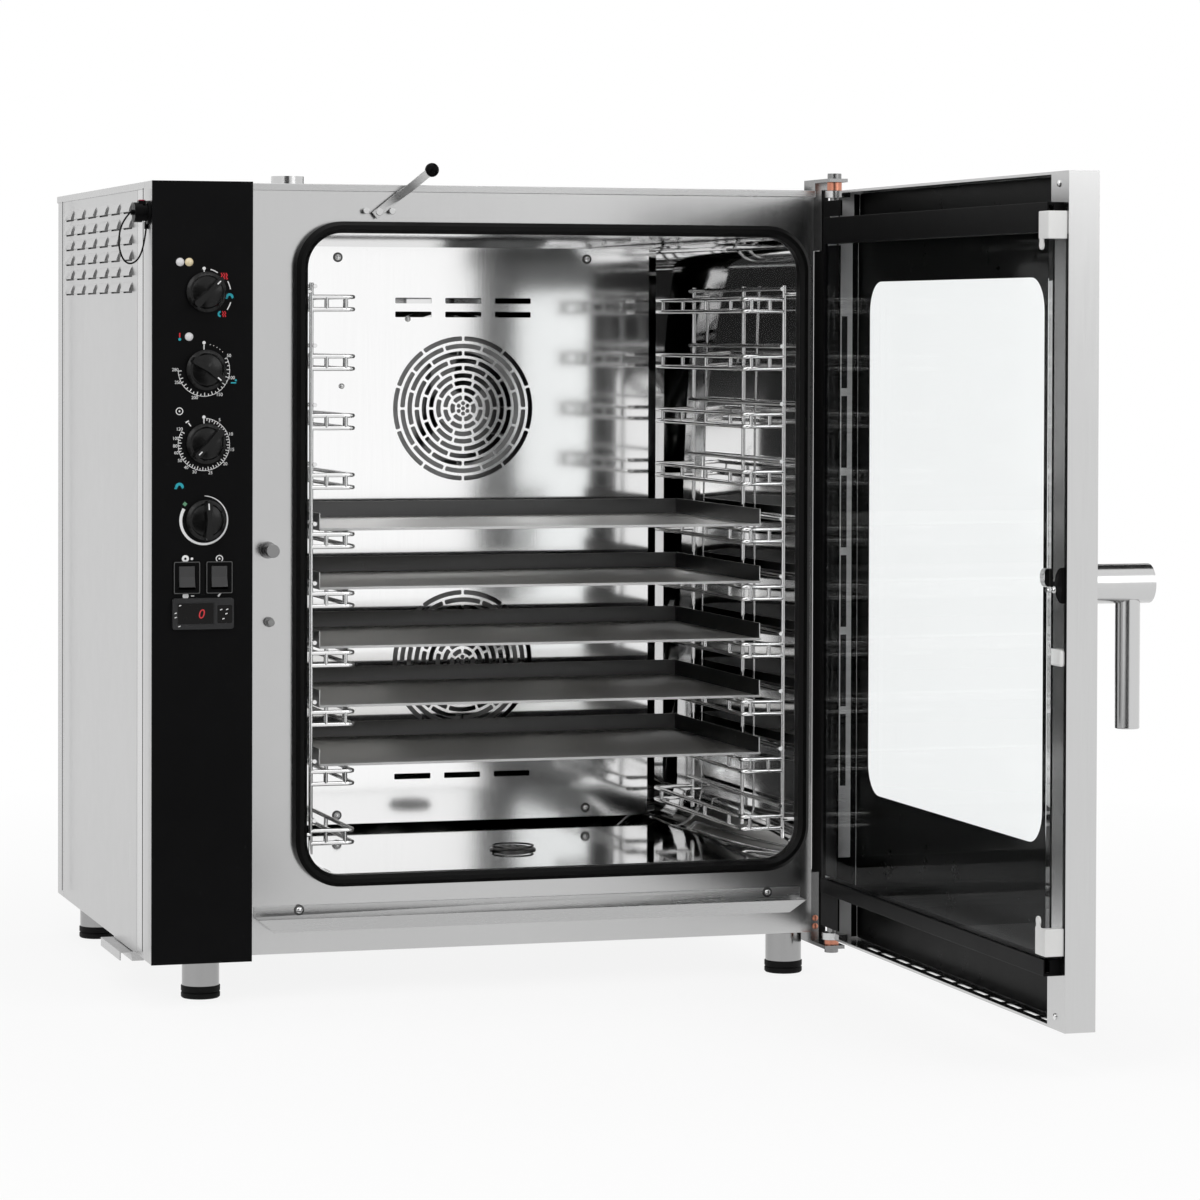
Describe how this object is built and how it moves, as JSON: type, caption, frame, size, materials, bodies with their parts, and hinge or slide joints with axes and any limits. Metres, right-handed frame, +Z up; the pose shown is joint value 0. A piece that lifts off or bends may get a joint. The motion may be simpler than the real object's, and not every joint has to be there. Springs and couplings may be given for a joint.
{
  "type": "combi oven",
  "caption": "Countertop combi steam oven with a side-hinged glass door, dial control column, wire tray racks, trays, fan baffle and manual vent lever",
  "frame": {"origin": "on the floor under the middle of the body's front line, at the height the foot pads rest on", "axes": "+X to the right seen from the front, +Y to the back, +Z up; the door stands open square to the front"},
  "size_m": [0.9345, 1.3212, 0.938],
  "materials": {
    "brushed_steel": "brushed sheet",
    "chamber_steel": "satin sheet",
    "bright_wire": "drawn and welded wire",
    "tray_aluminium": "rolled sheet",
    "fascia_print": "satin print",
    "black_plastic": "satin moulding",
    "foot_rubber": "moulded",
    "seal_rubber": "extruded silicone",
    "rocker_plastic": "moulded key",
    "lamp_lens": "clear lens",
    "white_plastic": "moulded",
    "grey_plastic": "extruded",
    "turned_steel": "turned",
    "bush_bronze": "turned",
    "fan_steel": "pressed",
    "motor_paint": "plain",
    "element_sheath": "heat-darkened tube",
    "tether_cord": "round cord",
    "clear_glass": "toughened",
    "printed_glass": "toughened with dark print"
  },
  "bodies": {
    "oven": {"base_pan": "brushed_steel", "front_frame": "brushed_steel", "left_side_panel": "brushed_steel", "right_side_panel": "brushed_steel", "rear_panel": "brushed_steel", "top_cover": "brushed_steel", "tray_runner": "brushed_steel", "control_box": "brushed_steel", "drip_gutter": "brushed_steel", "leg_tubes": "brushed_steel", "cavity_liner": "chamber_steel", "fan_baffle": "chamber_steel", "left_rack": "bright_wire", "right_rack": "bright_wire", "baking_tray_1": "tray_aluminium", "baking_tray_2": "tray_aluminium", "baking_tray_3": "tray_aluminium", "baking_tray_4": "tray_aluminium", "baking_tray_5": "tray_aluminium", "control_fascia": "fascia_print", "switch_bezels": "black_plastic", "controller": "black_plastic", "probe_socket": "black_plastic", "probe_cap": "black_plastic", "foot_pads": "foot_rubber", "door_gasket": "seal_rubber", "indicator_lamps": "lamp_lens", "door_sensor": "grey_plastic", "lever_stops": "turned_steel", "catch_pin": "turned_steel", "hinge_brackets": "turned_steel", "drain_strainer": "turned_steel", "vent_pipe": "turned_steel", "drain_pipe": "turned_steel", "hinge_bushes": "bush_bronze", "water_inlet": "bush_bronze", "fan_motors": "motor_paint", "heating_elements": "element_sheath", "cap_tether": "tether_cord"},
    "door": {"door_frame": "brushed_steel", "outer_glass": "printed_glass", "inner_glass": "clear_glass", "upper_glass_rail": "black_plastic", "lower_glass_rail": "grey_plastic", "glass_clips": "white_plastic", "door_magnet": "grey_plastic", "latch_housing": "black_plastic"},
    "handle": {"handle_boss": "turned_steel", "handle_grip": "turned_steel"},
    "mode_dial": {"mode_knob": "black_plastic"},
    "temperature_dial": {"temperature_knob": "black_plastic"},
    "timer_dial": {"timer_knob": "black_plastic"},
    "steam_dial": {"steam_knob": "black_plastic"},
    "left_switch": {"left_rocker": "rocker_plastic"},
    "right_switch": {"right_rocker": "rocker_plastic"},
    "vent_control": {"vent_lever": "turned_steel", "lever_ball": "black_plastic", "vent_damper": "turned_steel"},
    "upper_impeller": {"upper_fan": "fan_steel"},
    "lower_impeller": {"lower_fan": "fan_steel"}
  },
  "joints": [
    {"name": "door_hinge", "type": "hinge", "parent": "oven", "child": "door", "pos_m": [0.4055, -0.0347, 0.478], "axis": [0, 0, 1], "range_deg": [-90, 40]},
    {"name": "handle_turn", "type": "hinge", "parent": "door", "child": "handle", "pos_m": [0.47, -0.694, 0.495], "axis": [1, 0, 0], "range_deg": [0, 90]},
    {"name": "mode_turn", "type": "hinge", "parent": "oven", "child": "mode_dial", "pos_m": [-0.335, -0.055, 0.7906], "axis": [0, 1, 0], "range_deg": [-45, 90]},
    {"name": "temperature_turn", "type": "hinge", "parent": "oven", "child": "temperature_dial", "pos_m": [-0.335, -0.055, 0.7046], "axis": [0, 1, 0], "range_deg": [-125, 160]},
    {"name": "timer_turn", "type": "hinge", "parent": "oven", "child": "timer_dial", "pos_m": [-0.335, -0.055, 0.6234], "axis": [0, 1, 0], "range_deg": [-225, 105]},
    {"name": "steam_turn", "type": "hinge", "parent": "oven", "child": "steam_dial", "pos_m": [-0.335, -0.055, 0.539], "axis": [0, 1, 0], "range_deg": [-140, 140]},
    {"name": "left_rocker_tip", "type": "hinge", "parent": "oven", "child": "left_switch", "pos_m": [-0.3562, -0.041, 0.4755], "axis": [1, 0, 0], "range_deg": [0, 16]},
    {"name": "right_rocker_tip", "type": "hinge", "parent": "oven", "child": "right_switch", "pos_m": [-0.3198, -0.041, 0.4755], "axis": [1, 0, 0], "range_deg": [0, 16]},
    {"name": "vent_turn", "type": "hinge", "parent": "oven", "child": "vent_control", "pos_m": [-0.1287, 0.1, 0.8822], "axis": [0, 1, 0], "range_deg": [-101, 0]},
    {"name": "upper_fan_spin", "type": "hinge", "parent": "oven", "child": "upper_impeller", "pos_m": [0.08, 0.49, 0.6527], "axis": [0, 1, 0], "continuous": true},
    {"name": "lower_fan_spin", "type": "hinge", "parent": "oven", "child": "lower_impeller", "pos_m": [0.08, 0.49, 0.3393], "axis": [0, 1, 0], "continuous": true}
  ]
}
